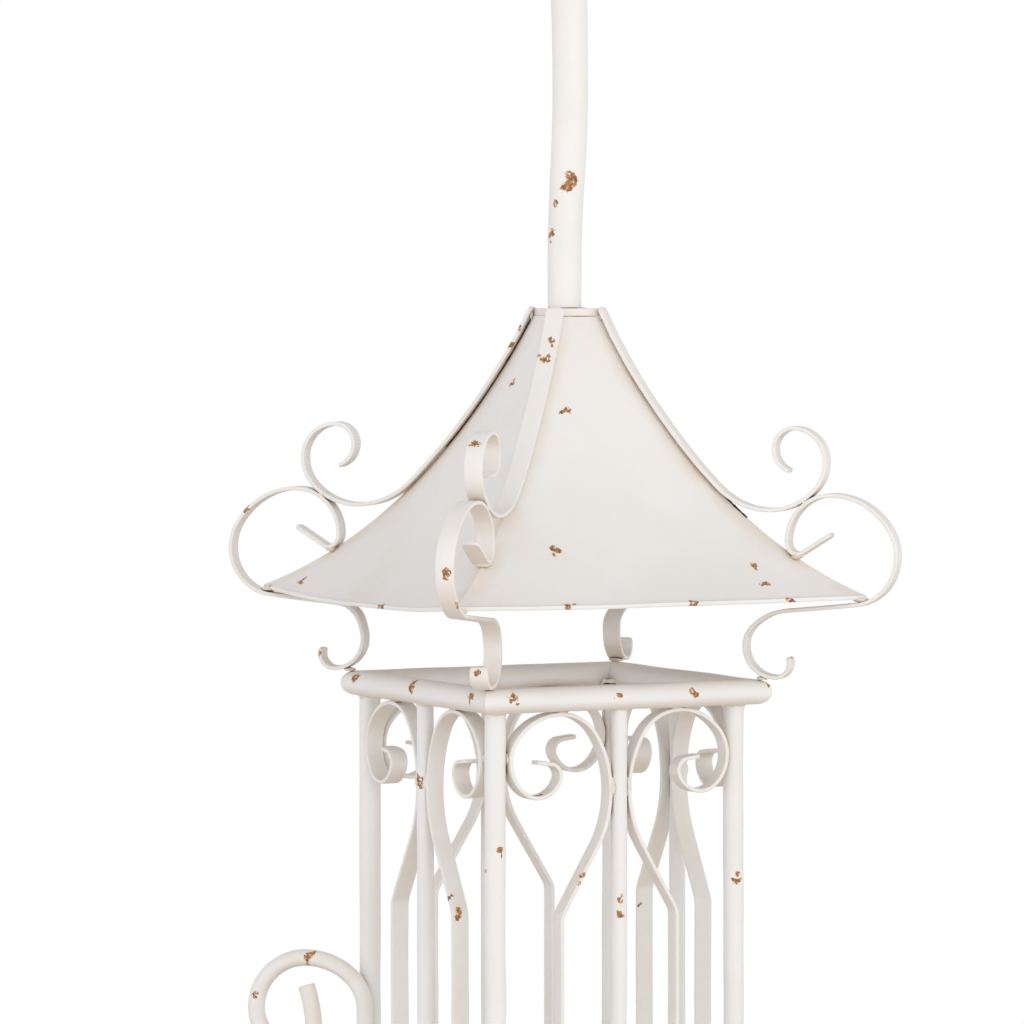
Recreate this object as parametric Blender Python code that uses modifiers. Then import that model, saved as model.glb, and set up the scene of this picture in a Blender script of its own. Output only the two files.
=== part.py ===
"""Wrought-iron bird feeder: a scrolled cage under a swept four-sided roof, with a crook pole on top."""

import math

import bmesh
import bpy
from mathutils import Matrix, Vector

# Axes: +Z up, origin on the cage axis at ground level, cage faces square to X and Y. Metres.
GAP = 0.0003

# Square frames of mitred tube.
FRAME_HALF = 0.1118
RAIL_RADIUS = 0.0095
RAIL_WALL = 0.0015
TOP_FRAME_Z = 0.610
LOW_FRAME_Z = 0.110

# Uprights.
CORNER_POST_CENTRE = 0.1038
CORNER_POST_RADIUS = 0.008
CORNER_POST_WALL = 0.0015
CORNER_POST_TUCK = 0.004
MID_POST_PLANE = 0.1088
MID_POST_RADIUS = 0.00635
MID_POST_WALL = 0.0012
FOOT_RADIUS = 0.019
FOOT_THICKNESS = 0.005

# Flat strip that all the scrolls are bent from. The cage's own stand a little inside its rails.
INFILL_PLANE = 0.1053
STRIP_WIDTH = 0.014
STRIP_THICKNESS = 0.003

# Roof: the ridge runs down a quadratic curve, given as (radius, height above the eave).
EAVE_Z = 0.681
RIDGE_CURVE = ((0.0276, 0.2100), (0.1140, 0.0520), (0.2432, 0.0030))
EAVE_LIP = 0.003
PANEL_THICKNESS = 0.001
RIDGE_STEPS = 14
CAP_SIDE = 0.0384
CAP_THICKNESS = 0.006

# Pole on its spigot.
SPIGOT_RADIUS = 0.0104
SPIGOT_HEIGHT = 0.033
POLE_RADIUS = 0.0127
POLE_SWELL = 1.09
POLE_SWELL_HEIGHT = 0.230
POLE_WALL = 0.0018
CROOK_TIP_RADIUS = 0.0155

# Side scroll of round rod.
ROD_RADIUS = 0.00635
ROD_PLANE_RADIUS = 0.1430
ROD_MIDDLE_Z = 0.2745

# Seed tray on two bearer bars.
BEARER_OFFSET = 0.030
TRAY_SIDE = 0.180
TRAY_HEIGHT = 0.030
TRAY_WALL = 0.0012
TRAY_CORNER = 0.012

ARC_STEP = 13.0
INWARD = -1.0
CORNERS = {"front_left": 225, "front_right": 315, "back_right": 45, "back_left": 135}
FACES = {"front": 270, "right": 0, "back": 90, "left": 180}

# Bent paths as a start point, a heading in degrees, then lines and arcs. Positive arcs turn left.
CORNER_SCROLL = (
    (0.2155, 0.0481), 211.8,
    (("line", 0.0264), ("arc", 0.0079, -94.9), ("arc", 0.0121, -26.3),
     ("arc", 0.0343, -87.8), ("arc", 0.0562, -61.3), ("arc", 0.0361, -116.0),
     ("line", 0.0575), ("arc", 0.0339, 42.4), ("arc", 0.0233, 133.6), ("arc", 0.0109, 112.0)),
)
RIDGE_CURL = (("arc", 0.0609, 44.4), ("arc", 0.0500, 45.0), ("arc", 0.0300, 45.0),
              ("arc", 0.0257, 90.0), ("arc", 0.0155, 90.0), ("arc", 0.0170, 75.0))
RIDGE_CURL_START = 0.488
INFILL_STEM = 0.0500
INFILL_BEND_Z = -0.1566
INFILL_BENDS = (
    ("arc", 0.0150, 31.0), ("line", 0.0552), ("arc", 0.0787, -63.1), ("arc", 0.0362, -46.8),
    ("arc", 0.0451, -61.4), ("arc", 0.0288, -90.4), ("arc", 0.0202, -107.0),
    ("arc", 0.0088, -105.0), ("line", 0.0120),
)
ROD_BENDS = (
    ("line", 0.0861), ("arc", 0.0340, -50.0), ("arc", 0.0532, -40.0), ("arc", 0.0400, -90.0),
    ("arc", 0.0300, -90.0), ("arc", 0.0155, -92.0), ("arc", 0.1200, -16.0),
)
POLE_PATH = (
    (0.0, 0.0), 90.0,
    (("line", 0.033), ("arc", 0.60, -3.2), ("line", 0.030), ("arc", 1.40, 4.8), ("line", 0.060),
     ("arc", 1.40, -1.6), ("line", 0.436), ("arc", 0.080, 200.0), ("arc", 0.022, -75.0)),
)


def clear_scene():
    for obj in list(bpy.data.objects):
        bpy.data.objects.remove(obj)
    for data in (bpy.data.meshes, bpy.data.curves, bpy.data.materials):
        for block in list(data):
            data.remove(block)


def new_collection(name, hidden=False):
    collection = bpy.data.collections.new(name)
    bpy.context.scene.collection.children.link(collection)
    collection.hide_render = hidden
    return collection


def paint(name, colour, roughness):
    material = bpy.data.materials.new(name)
    material.use_nodes = True
    shader = material.node_tree.nodes["Principled BSDF"]
    shader.inputs["Base Color"].default_value = (*colour, 1.0)
    shader.inputs["Metallic"].default_value = 0.0
    shader.inputs["Roughness"].default_value = roughness
    return material


def bent_path(start, heading, moves, mirrored=False):
    """Points along a run of lines and arcs in a plane."""
    x, y = start
    angle = math.radians(heading)
    points = [(x, y)]
    for move in moves:
        if move[0] == "line":
            steps, chord, turn = 1, move[1], 0.0
        else:
            sweep = math.radians(move[2])
            steps = max(2, math.ceil(abs(move[2]) / ARC_STEP))
            turn = sweep / steps
            chord = 2.0 * move[1] * math.sin(abs(turn) / 2.0)
        for _ in range(steps):
            x += chord * math.cos(angle + turn / 2.0)
            y += chord * math.sin(angle + turn / 2.0)
            angle += turn
            points.append((x, y))
    return [(-px, py) for px, py in points] if mirrored else points


def ridge_point(t, offset=0.0):
    """Point on the ridge curve at 0..1, moved out square to it by the offset."""
    (r0, z0), (r1, z1), (r2, z2) = RIDGE_CURVE
    r = (1 - t) ** 2 * r0 + 2 * t * (1 - t) * r1 + t * t * r2
    z = (1 - t) ** 2 * z0 + 2 * t * (1 - t) * z1 + t * t * z2
    dr = 2 * (1 - t) * (r1 - r0) + 2 * t * (r2 - r1)
    dz = 2 * (1 - t) * (z1 - z0) + 2 * t * (z2 - z1)
    length = math.hypot(dr, dz)
    return (r - offset * dz / length, z + offset * dr / length), math.degrees(math.atan2(dz, dr))


def upright_plane(angle, distance=0.0, height=0.0, radial=True):
    """Drawing plane at an angle about Z: its X runs outward if radial, else along the face; its Y is up."""
    turn = math.radians(angle)
    outward = Vector((math.cos(turn), math.sin(turn), 0.0))
    up = Vector((0.0, 0.0, 1.0))
    across = outward if radial else up.cross(outward)
    matrix = Matrix((across, up, across.cross(up))).transposed().to_4x4()
    matrix.translation = outward * distance + up * height
    return matrix


def corner_centre(corner, distance):
    turn = math.radians(CORNERS[corner])
    return Vector((math.cos(turn), math.sin(turn), 0.0)) * distance * math.sqrt(2.0)


def add_object(name, mesh, collection, material=None):
    obj = bpy.data.objects.new(name, mesh)
    collection.objects.link(obj)
    if material:
        mesh.materials.append(material)
    return obj


def mesh_from_curve(name, curve):
    """Turns a curve into a welded mesh and removes the curve."""
    holder = bpy.data.objects.new(name + "_curve", curve)
    bpy.context.scene.collection.objects.link(holder)
    bpy.context.view_layer.update()
    graph = bpy.context.evaluated_depsgraph_get()
    mesh = bpy.data.meshes.new_from_object(holder.evaluated_get(graph))
    mesh.name = name
    bpy.data.objects.remove(holder)
    bpy.data.curves.remove(curve)
    shape = bmesh.new()
    shape.from_mesh(mesh)
    bmesh.ops.remove_doubles(shape, verts=shape.verts, dist=1e-6)
    bmesh.ops.recalc_face_normals(shape, faces=shape.faces)
    shape.to_mesh(mesh)
    shape.free()
    return mesh


def poly_curve(name, points, flat):
    curve = bpy.data.curves.new(name, "CURVE")
    curve.dimensions = "2D" if flat else "3D"
    if flat:
        curve.fill_mode = "NONE"
    spline = curve.splines.new("POLY")
    spline.points.add(len(points) - 1)
    for point, place in zip(spline.points, points):
        point.co = (*place, *(0.0,) * (3 - len(place)), 1.0)
    return curve


def solidify(obj, thickness, offset):
    modifier = obj.modifiers.new("Thickness", "SOLIDIFY")
    modifier.thickness = thickness
    modifier.offset = offset
    modifier.use_even_offset = True
    return modifier


def boolean(obj, cutter, operation="DIFFERENCE"):
    modifier = obj.modifiers.new("Cut " + cutter.name, "BOOLEAN")
    modifier.operation = operation
    modifier.solver = "EXACT"
    modifier.object = cutter


def strip(name, points, matrix, material, width=STRIP_WIDTH, thickness=STRIP_THICKNESS):
    """Flat bar bent on its face along the points, centred on its drawing plane."""
    curve = poly_curve(name, points, flat=True)
    curve.extrude = width / 2.0
    obj = add_object(name, mesh_from_curve(name, curve), PARTS, material)
    obj.matrix_world = matrix
    solidify(obj, thickness, 0.0)
    return obj


def rod(name, points, radius, matrix, material, sides=12):
    """Solid round bar along the points."""
    curve = poly_curve(name, points, flat=False)
    curve.bevel_depth = radius
    curve.bevel_resolution = (sides - 4) // 2
    curve.use_fill_caps = True
    obj = add_object(name, mesh_from_curve(name, curve), PARTS, material)
    obj.matrix_world = matrix
    return obj


def cylinder_mesh(name, radius, length, sides, capped):
    mesh = bpy.data.meshes.new(name)
    shape = bmesh.new()
    bmesh.ops.create_cone(shape, cap_ends=capped, segments=sides, radius1=radius,
                          radius2=radius, depth=length)
    shape.to_mesh(mesh)
    shape.free()
    return mesh


def upright_tube(name, radius, wall, place, bottom, top, material, sides=16):
    mesh = cylinder_mesh(name, radius, top - bottom, sides, capped=False)
    obj = add_object(name, mesh, PARTS, material)
    obj.location = (place[0], place[1], (bottom + top) / 2.0)
    solidify(obj, wall, INWARD)
    return obj


def along_face(angle, z):
    """Placement that lays a cylinder level along the frame side facing the angle."""
    place = upright_plane(angle, FRAME_HALF, z, radial=False)
    return place @ Matrix.Rotation(math.radians(90.0), 4, "Y")


def make_cutters():
    """Quarter wedges that mitre rails and panels, and round clearances over the frame rails."""
    for face, angle in FACES.items():
        wedge = bpy.data.meshes.new("wedge_" + face)
        shape = bmesh.new()
        reach = 0.5
        apex = GAP / math.sqrt(2.0)
        corners = [(apex, 0.0), (reach, -reach + apex), (reach, reach - apex)]
        base = [shape.verts.new((x, y, 0.0)) for x, y in corners]
        side = shape.faces.new(base)
        raised = bmesh.ops.extrude_face_region(shape, geom=[side])["geom"]
        tops = [item for item in raised if isinstance(item, bmesh.types.BMVert)]
        bmesh.ops.translate(shape, verts=tops, vec=(0.0, 0.0, 1.0))
        bmesh.ops.recalc_face_normals(shape, faces=shape.faces)
        shape.to_mesh(wedge)
        shape.free()
        add_cutter("wedge_" + face, wedge, Matrix.Rotation(math.radians(angle), 4, "Z"))
        for level, z in (("top", TOP_FRAME_Z), ("low", LOW_FRAME_Z)):
            name = f"clearance_{level}_{face}"
            mesh = cylinder_mesh(name, RAIL_RADIUS + GAP, 0.30, 32, capped=True)
            add_cutter(name, mesh, along_face(angle, z))


def add_cutter(name, mesh, matrix):
    obj = add_object(name, mesh, CUTTERS)
    obj.matrix_world = matrix
    obj.hide_render = True
    obj.display_type = "WIRE"


def cutter(name):
    return CUTTERS.objects[name]


def make_frames():
    for level, z in (("top", TOP_FRAME_Z), ("lower", LOW_FRAME_Z)):
        for face, angle in FACES.items():
            name = f"{level}_rail_{face}"
            mesh = cylinder_mesh(name, RAIL_RADIUS, 0.26, 20, capped=False)
            obj = add_object(name, mesh, PARTS, IRON)
            obj.matrix_world = along_face(angle, z)
            solidify(obj, RAIL_WALL, INWARD)
            boolean(obj, cutter("wedge_" + face), "INTERSECT")


def make_uprights():
    for corner in CORNERS:
        place = corner_centre(corner, CORNER_POST_CENTRE)
        sides = [face for face in FACES if face in corner.split("_")]
        post = upright_tube("corner_post_" + corner, CORNER_POST_RADIUS, CORNER_POST_WALL, place,
                            LOW_FRAME_Z + CORNER_POST_TUCK, TOP_FRAME_Z - CORNER_POST_TUCK, IRON)
        leg = upright_tube("leg_" + corner, CORNER_POST_RADIUS, CORNER_POST_WALL, place,
                           FOOT_THICKNESS + GAP, LOW_FRAME_Z - CORNER_POST_TUCK, IRON)
        for face in sides:
            boolean(post, cutter("clearance_top_" + face))
            boolean(post, cutter("clearance_low_" + face))
            boolean(leg, cutter("clearance_low_" + face))
        foot = cylinder_mesh("foot_" + corner, FOOT_RADIUS, FOOT_THICKNESS, 24, capped=True)
        obj = add_object("foot_" + corner, foot, PARTS, IRON)
        obj.location = (place[0], place[1], FOOT_THICKNESS / 2.0)
    for face, angle in FACES.items():
        place = upright_plane(angle, MID_POST_PLANE).translation
        post = upright_tube("mid_post_" + face, MID_POST_RADIUS, MID_POST_WALL, place,
                            LOW_FRAME_Z, TOP_FRAME_Z, IRON, sides=12)
        boolean(post, cutter("clearance_top_" + face))
        boolean(post, cutter("clearance_low_" + face))


def infill_path(mirrored):
    """Stem up from the lower rail, then the bend in to the mid post and round the double curl."""
    under_rail = TOP_FRAME_Z - RAIL_RADIUS
    start = (INFILL_STEM, LOW_FRAME_Z)
    rise = under_rail + INFILL_BEND_Z - LOW_FRAME_Z
    return bent_path(start, 90.0, (("line", rise), *INFILL_BENDS), mirrored)


def make_infill():
    for face, angle in FACES.items():
        for side, mirrored in (("a", False), ("b", True)):
            matrix = upright_plane(angle, INFILL_PLANE, radial=False)
            obj = strip(f"infill_scroll_{face}_{side}", infill_path(mirrored), matrix, IRON)
            boolean(obj, cutter("clearance_low_" + face))


def panel_profile():
    scale = 1.0 / math.sqrt(2.0)
    points = [ridge_point(step / RIDGE_STEPS)[0] for step in range(RIDGE_STEPS + 1)]
    low_r, low_z = points[-1]
    points.append((low_r, low_z - EAVE_LIP))
    return [(r * scale, z) for r, z in points]


def ridge_strip_path():
    """Up past the cap's corner at one end; down the ridge, then off it and round the curl at the other."""
    offset = STRIP_THICKNESS / 2.0 + GAP
    steps = 8
    ridge = [ridge_point(RIDGE_CURL_START * step / steps, offset) for step in range(steps + 1)]
    start, heading = ridge[-1]
    top = (ridge[0][0][0], RIDGE_CURVE[0][1] + GAP + CAP_THICKNESS)
    return [top] + [point for point, _ in ridge[:-1]] + bent_path(start, heading, RIDGE_CURL)


def make_roof():
    for face, angle in FACES.items():
        matrix = upright_plane(angle, 0.0, EAVE_Z)
        panel = strip("roof_panel_" + face, panel_profile(), matrix, IRON, 0.40, PANEL_THICKNESS)
        panel.modifiers["Thickness"].offset = INWARD
        boolean(panel, cutter("wedge_" + face), "INTERSECT")
    for corner, angle in CORNERS.items():
        matrix = upright_plane(angle, 0.0, EAVE_Z)
        strip("ridge_strip_" + corner, ridge_strip_path(), matrix, IRON)
        strip("corner_scroll_" + corner, bent_path(*CORNER_SCROLL), matrix, IRON)


def cap_bottom():
    return EAVE_Z + RIDGE_CURVE[0][1] + GAP


def make_cap():
    mesh = bpy.data.meshes.new("roof_cap_plate")
    shape = bmesh.new()
    bmesh.ops.create_cube(shape, size=1.0)
    bmesh.ops.scale(shape, verts=shape.verts, vec=(CAP_SIDE, CAP_SIDE, CAP_THICKNESS))
    shape.to_mesh(mesh)
    shape.free()
    cap = add_object("roof_cap_plate", mesh, PARTS, IRON)
    cap.location.z = cap_bottom() + CAP_THICKNESS / 2.0
    bevel = cap.modifiers.new("Edges", "BEVEL")
    bevel.width = 0.0006
    bevel.segments = 1
    return cap_bottom() + CAP_THICKNESS + GAP


def turned(name, profile, steps, material):
    """Solid of revolution about Z from a profile that runs from top to bottom."""
    mesh = bpy.data.meshes.new(name)
    shape = bmesh.new()
    verts = [shape.verts.new((x, 0.0, z)) for x, z in profile]
    for first, second in zip(verts, verts[1:]):
        shape.edges.new((first, second))
    shape.to_mesh(mesh)
    shape.free()
    obj = add_object(name, mesh, PARTS, material)
    screw = obj.modifiers.new("Turn", "SCREW")
    screw.steps = steps
    screw.render_steps = steps
    screw.use_merge_vertices = True
    screw.merge_threshold = 0.00001
    return obj


def make_spigot(seat):
    """Chamfered pin that stands on the cap plate; the pole's foot slips over it."""
    chamfer = 0.0015
    profile = ((0.0, SPIGOT_HEIGHT), (SPIGOT_RADIUS - chamfer, SPIGOT_HEIGHT),
               (SPIGOT_RADIUS, SPIGOT_HEIGHT - chamfer), (SPIGOT_RADIUS, 0.0), (0.0, 0.0))
    obj = turned("pole_spigot", profile, 24, IRON)
    obj.location.z = seat


def make_pole(foot):
    """Bent tube pole whose origin is on the swivel axis, and the ball that closes its tip."""
    points = bent_path(*POLE_PATH)
    curve = poly_curve("pole", [(x, 0.0, z) for x, z in points], flat=False)
    curve.bevel_depth = POLE_RADIUS
    curve.bevel_resolution = 6
    for point in curve.splines[0].points:
        reach = min(max(point.co.z / POLE_SWELL_HEIGHT, 0.0), 1.0)
        point.radius = 1.0 + (POLE_SWELL - 1.0) * reach
    pole = add_object("pole", mesh_from_curve("pole", curve), PARTS, IRON)
    pole.location.z = foot
    solidify(pole, POLE_WALL, INWARD)
    end = Vector((points[-1][0], 0.0, points[-1][1]))
    before = Vector((points[-2][0], 0.0, points[-2][1]))
    out = (end - before).normalized()
    mesh = bpy.data.meshes.new("crook_tip")
    shape = bmesh.new()
    bmesh.ops.create_uvsphere(shape, u_segments=20, v_segments=12, radius=CROOK_TIP_RADIUS)
    turn = out.to_track_quat("Z", "Y").to_matrix().to_4x4()
    shape.transform(Matrix.Translation(end + out * 0.008) @ turn)
    sliced = bmesh.ops.bisect_plane(shape, geom=shape.verts[:] + shape.edges[:] + shape.faces[:],
                                    plane_co=end + out * GAP, plane_no=-out, clear_outer=True)
    rim = [item for item in sliced["geom_cut"] if isinstance(item, bmesh.types.BMEdge)]
    bmesh.ops.holes_fill(shape, edges=rim)
    bmesh.ops.recalc_face_normals(shape, faces=shape.faces)
    shape.to_mesh(mesh)
    shape.free()
    tip = add_object("crook_tip", mesh, PARTS, IRON)
    tip.location.z = foot


def make_side_scroll():
    """Round-rod scroll beside the back-left corner post: one bent path, mirrored about its middle."""
    upper = bent_path((ROD_PLANE_RADIUS, 0.0), 90.0, ROD_BENDS)
    lower = [(r, -z) for r, z in reversed(upper[1:])]
    matrix = upright_plane(CORNERS["back_left"], 0.0, ROD_MIDDLE_Z)
    sideways = corner_centre("front_left", 1.0).normalized()
    matrix.translation += sideways * (CORNER_POST_RADIUS + ROD_RADIUS + GAP)
    points = [(r, z, 0.0) for r, z in lower + upper]
    rod("side_scroll", points, ROD_RADIUS, matrix, IRON)


def make_tray():
    top_of_rail = LOW_FRAME_Z + RAIL_RADIUS + GAP
    for side, sign in (("left", -1.0), ("right", 1.0)):
        mesh = bpy.data.meshes.new("tray_bearer_" + side)
        shape = bmesh.new()
        bmesh.ops.create_cube(shape, size=1.0)
        bmesh.ops.scale(shape, verts=shape.verts,
                        vec=(STRIP_WIDTH, 2.0 * FRAME_HALF, STRIP_THICKNESS))
        shape.to_mesh(mesh)
        shape.free()
        bearer = add_object("tray_bearer_" + side, mesh, PARTS, IRON)
        bearer.location = (sign * BEARER_OFFSET, 0.0, top_of_rail + STRIP_THICKNESS / 2.0)
    base = top_of_rail + STRIP_THICKNESS + GAP
    mesh = bpy.data.meshes.new("seed_tray")
    shape = bmesh.new()
    bmesh.ops.create_cube(shape, size=1.0)
    bmesh.ops.scale(shape, verts=shape.verts, vec=(TRAY_SIDE, TRAY_SIDE, TRAY_HEIGHT))
    bmesh.ops.translate(shape, verts=shape.verts, vec=(0.0, 0.0, TRAY_HEIGHT / 2.0))
    uprights = [edge for edge in shape.edges if abs(edge.verts[0].co.z - edge.verts[1].co.z) > 0.01]
    bmesh.ops.bevel(shape, geom=uprights, offset=TRAY_CORNER, segments=4, affect="EDGES", profile=0.5)
    lid = [face for face in shape.faces if face.normal.z > 0.9]
    bmesh.ops.delete(shape, geom=lid, context="FACES_ONLY")
    shape.to_mesh(mesh)
    shape.free()
    tray = add_object("seed_tray", mesh, PARTS, TRAY_METAL)
    tray.location.z = base
    solidify(tray, TRAY_WALL, INWARD)


clear_scene()
PARTS = new_collection("bird_feeder_on_pole")
CUTTERS = new_collection("cutters", hidden=True)
IRON = paint("antique_white_iron", (0.83, 0.80, 0.74), 0.55)
TRAY_METAL = paint("tray_white_iron", (0.80, 0.77, 0.71), 0.50)
make_cutters()
make_frames()
make_uprights()
make_infill()
make_roof()
CAP_TOP = make_cap()
make_spigot(CAP_TOP)
make_pole(CAP_TOP)
make_side_scroll()
make_tray()
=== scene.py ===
"""Looks of the bird feeder: distressed antique-white paint on hand-bent iron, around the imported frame."""

import math
import random

import bmesh
import bpy
from mathutils import Matrix, Vector, noise


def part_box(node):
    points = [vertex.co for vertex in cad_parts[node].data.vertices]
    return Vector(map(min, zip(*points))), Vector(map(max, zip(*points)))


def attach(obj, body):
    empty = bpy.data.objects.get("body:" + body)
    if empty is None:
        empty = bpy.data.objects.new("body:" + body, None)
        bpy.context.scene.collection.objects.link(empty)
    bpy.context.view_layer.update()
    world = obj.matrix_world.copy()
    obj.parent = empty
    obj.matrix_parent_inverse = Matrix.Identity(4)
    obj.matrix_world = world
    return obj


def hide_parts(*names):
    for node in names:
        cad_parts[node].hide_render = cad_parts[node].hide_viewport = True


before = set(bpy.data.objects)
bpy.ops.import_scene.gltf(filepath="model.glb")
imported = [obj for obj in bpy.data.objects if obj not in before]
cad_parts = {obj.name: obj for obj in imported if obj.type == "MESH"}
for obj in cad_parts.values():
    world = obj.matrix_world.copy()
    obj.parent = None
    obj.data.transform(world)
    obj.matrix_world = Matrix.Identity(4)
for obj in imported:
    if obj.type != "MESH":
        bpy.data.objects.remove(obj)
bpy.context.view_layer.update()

# The handmade unevenness is drawn from this seed, so every run gives the same shapes.
NOISE_SEED = 1
noise.seed_set(NOISE_SEED)

# Sizes in metres, as in the solids.
FRAME_HALF = 0.1118
RAIL_RADIUS = 0.0095
TOP_FRAME_Z = 0.610
LOW_FRAME_Z = 0.110
CORNER_POST_CENTRE = 0.1038
CORNER_POST_RADIUS = 0.008
MID_POST_PLANE = 0.1088
MID_POST_RADIUS = 0.00635
INFILL_PLANE = 0.1053
STRIP_WIDTH = 0.014
STRIP_THICKNESS = 0.003
STRIP_EDGE = 0.0008
EAVE_Z = 0.681
RIDGE_CURVE = ((0.0276, 0.2100), (0.1140, 0.0520), (0.2432, 0.0030))
ROD_RADIUS = 0.00635
POLE_RADIUS = 0.0127
POLE_SWELL = 1.09
POLE_SWELL_HEIGHT = 0.230
CORNERS = {"front_left": 225, "front_right": 315, "back_right": 45, "back_left": 135}
FACES = {"front": 270, "right": 0, "back": 90, "left": 180}

# Bent paths as a start point, a heading in degrees, then lines and arcs. Positive arcs turn left.
CORNER_SCROLL = (
    (0.2155, 0.0481), 211.8,
    (("line", 0.0264), ("arc", 0.0079, -94.9), ("arc", 0.0121, -26.3),
     ("arc", 0.0343, -87.8), ("arc", 0.0562, -61.3), ("arc", 0.0361, -116.0),
     ("line", 0.0575), ("arc", 0.0339, 42.4), ("arc", 0.0233, 133.6), ("arc", 0.0109, 112.0)),
)
RIDGE_CURL = (("arc", 0.0609, 44.4), ("arc", 0.0500, 45.0), ("arc", 0.0300, 45.0),
              ("arc", 0.0257, 90.0), ("arc", 0.0155, 90.0), ("arc", 0.0170, 75.0))
RIDGE_CURL_START = 0.488
INFILL_STEM = 0.0500
INFILL_BEND_Z = -0.1566
INFILL_BENDS = (
    ("arc", 0.0150, 31.0), ("line", 0.0552), ("arc", 0.0787, -63.1), ("arc", 0.0362, -46.8),
    ("arc", 0.0451, -61.4), ("arc", 0.0288, -90.4), ("arc", 0.0202, -107.0),
    ("arc", 0.0088, -105.0), ("line", 0.0120),
)
ROD_PLANE_RADIUS = 0.1430
ROD_MIDDLE_Z = 0.2745
ROD_BENDS = (
    ("line", 0.0861), ("arc", 0.0340, -50.0), ("arc", 0.0532, -40.0), ("arc", 0.0400, -90.0),
    ("arc", 0.0300, -90.0), ("arc", 0.0155, -92.0), ("arc", 0.1200, -16.0),
)
POLE_PATH = (
    (0.0, 0.0), 90.0,
    (("line", 0.033), ("arc", 0.60, -3.2), ("line", 0.030), ("arc", 1.40, 4.8), ("line", 0.060),
     ("arc", 1.40, -1.6), ("line", 0.436), ("arc", 0.080, 200.0), ("arc", 0.022, -75.0)),
)

# Hand-built fit: the cage stands slightly turned and off-centre under its roof, its posts a little inside
# the top frame. Metres and degrees.
CAGE_TURN = 1.4
FRAME_SHIFT = (-0.0070, 0.0034)
BODY_SHIFT = (-0.0091, 0.0044)
BODY_DRAW_IN = 0.98
BODY_LEAN = {(0, 0): 0.0015, (0, 1): -0.0014, (1, 0): 0.0, (1, 1): 0.0052}
ROOF_SHIFT = (-0.0004, 0.0002)
ROOF_LEAN = (0.0110, -0.0055)
FRONT_RIGHT_TUCK = 0.095
SIDE_SCROLL_OUT = 0.0028
LEFT_EAVE_SAG = 0.0060
EAVE_SAG = 0.0010
ROOF_LEAN_START_Z = 0.70
SCROLL_BLEND_Z = 0.650
SCROLL_BLEND_HEIGHT = 0.032

# Plan directions seen from the front: to the viewer's right, and towards the viewer.
VIEW_RIGHT = Vector((0.899, -0.438, 0.0))
ACROSS_X, ACROSS_Y = 0.90, -0.44
TOWARD_X, TOWARD_Y = -0.44, -0.90

# Small allowances.
TOUCH_GAP = 0.0003
PAINT_FILM = 0.0004
MITRE_GAP = 0.00005
POST_TUCK = 0.004
POST_TOP_TUCK = 0.0072
MID_POST_TUCK = 0.006
FOOT_SEAT = 0.0040
INFILL_BASE_RISE = 0.007
CAP_HALF = 0.0192
CAP_EDGE = 0.0009
CROOK_BALL = 0.0150

# Camera and lights.
CAMERA_AZIMUTH = -26.0
CAMERA_ELEVATION = 2.44
CAMERA_DISTANCE = 4.7
CAMERA_AIM = (-0.0357, 0.0174, 0.743)
CAMERA_LENS = 218.0
CAMERA_SENSOR = 36.0
FLOOR_RADIUS = 2.1
FLOOR_DROP = 0.0005
KEY_PLACE = (0.0, -3.4, 1.2)
KEY_TARGET = (0.0, 0.0, 0.7)
KEY_SIZE = 1.2
KEY_POWER = 11.0
KEY_TINT = (1.0, 0.99, 0.97)

# Where the paint is worn through, piece by piece: how far along it in metres, how far round its section
# from 0 to 1, and the reach of the wear. A roof panel's places are shares of its width and of its slope.
WORN = {
    "corner_post_front_left": ((0.388, 0.25, 0.0040), (0.370, 0.00, 0.0024)),
    "corner_post_front_right": ((0.360, 0.24, 0.0040), (0.354, 0.23, 0.0034)),
    "mid_post_front": ((0.340, 0.18, 0.0042), (0.332, 0.18, 0.0036)),
    "mid_post_left": ((0.428, 0.09, 0.0040), (0.421, 0.09, 0.0036)),
    "pole": ((0.110, 0.22, 0.0065), (0.099, 0.22, 0.0060), (0.076, 0.08, 0.0046), (0.060, 0.04, 0.0046)),
    "top_rail_front": ((0.024, 0.06, 0.0050), (0.104, 0.03, 0.0045), (0.159, 0.05, 0.0045),
                       (0.222, 0.12, 0.0030)),
    "top_rail_left": ((0.017, 0.08, 0.0060), (0.110, 0.04, 0.0058), (0.203, 0.06, 0.0048)),
    "infill_scroll_front_b": ((0.612, 0.47, 0.0046), (0.368, 0.22, 0.0034), (0.358, 0.22, 0.0028)),
    "infill_scroll_left_a": ((0.330, 0.47, 0.0042), (0.344, 0.43, 0.0028)),
    "infill_scroll_right_a": ((0.318, 0.96, 0.0026),),
    "corner_scroll_front_left": ((0.178, 0.97, 0.0048), (0.205, 0.90, 0.0030), (0.383, 0.47, 0.0036)),
    "corner_scroll_front_right": ((0.384, 0.47, 0.0032),),
    "corner_scroll_back_left": ((0.145, 0.82, 0.0040), (0.380, 0.70, 0.0036)),
    "ridge_strip_front_left": ((0.029, 0.97, 0.0040), (0.046, 0.98, 0.0048), (0.294, 0.47, 0.0044)),
    "ridge_strip_back_left": ((0.018, 0.74, 0.0028), (0.034, 0.74, 0.0028)),
    "side_scroll": ((0.474, 0.80, 0.0052), (0.530, 0.78, 0.0024)),
    "roof_panel_front": ((0.74, 0.24, 0.0044), (0.78, 0.71, 0.0048), (0.17, 0.81, 0.0036),
                         (0.19, 0.90, 0.0046), (0.43, 1.04, 0.0050), (0.20, 1.04, 0.0050),
                         (0.74, 1.04, 0.0046)),
    "roof_panel_left": ((0.63, 0.17, 0.0032), (0.90, 0.94, 0.0040), (0.97, 1.00, 0.0032),
                        (0.38, 1.04, 0.0036)),
}
SLOPE_STEPS = 48
CLUSTER_CORE = 0.85
CLUSTER_SPOTS = 4


# --- node helpers -----------------------------------------------------------------------------

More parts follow.
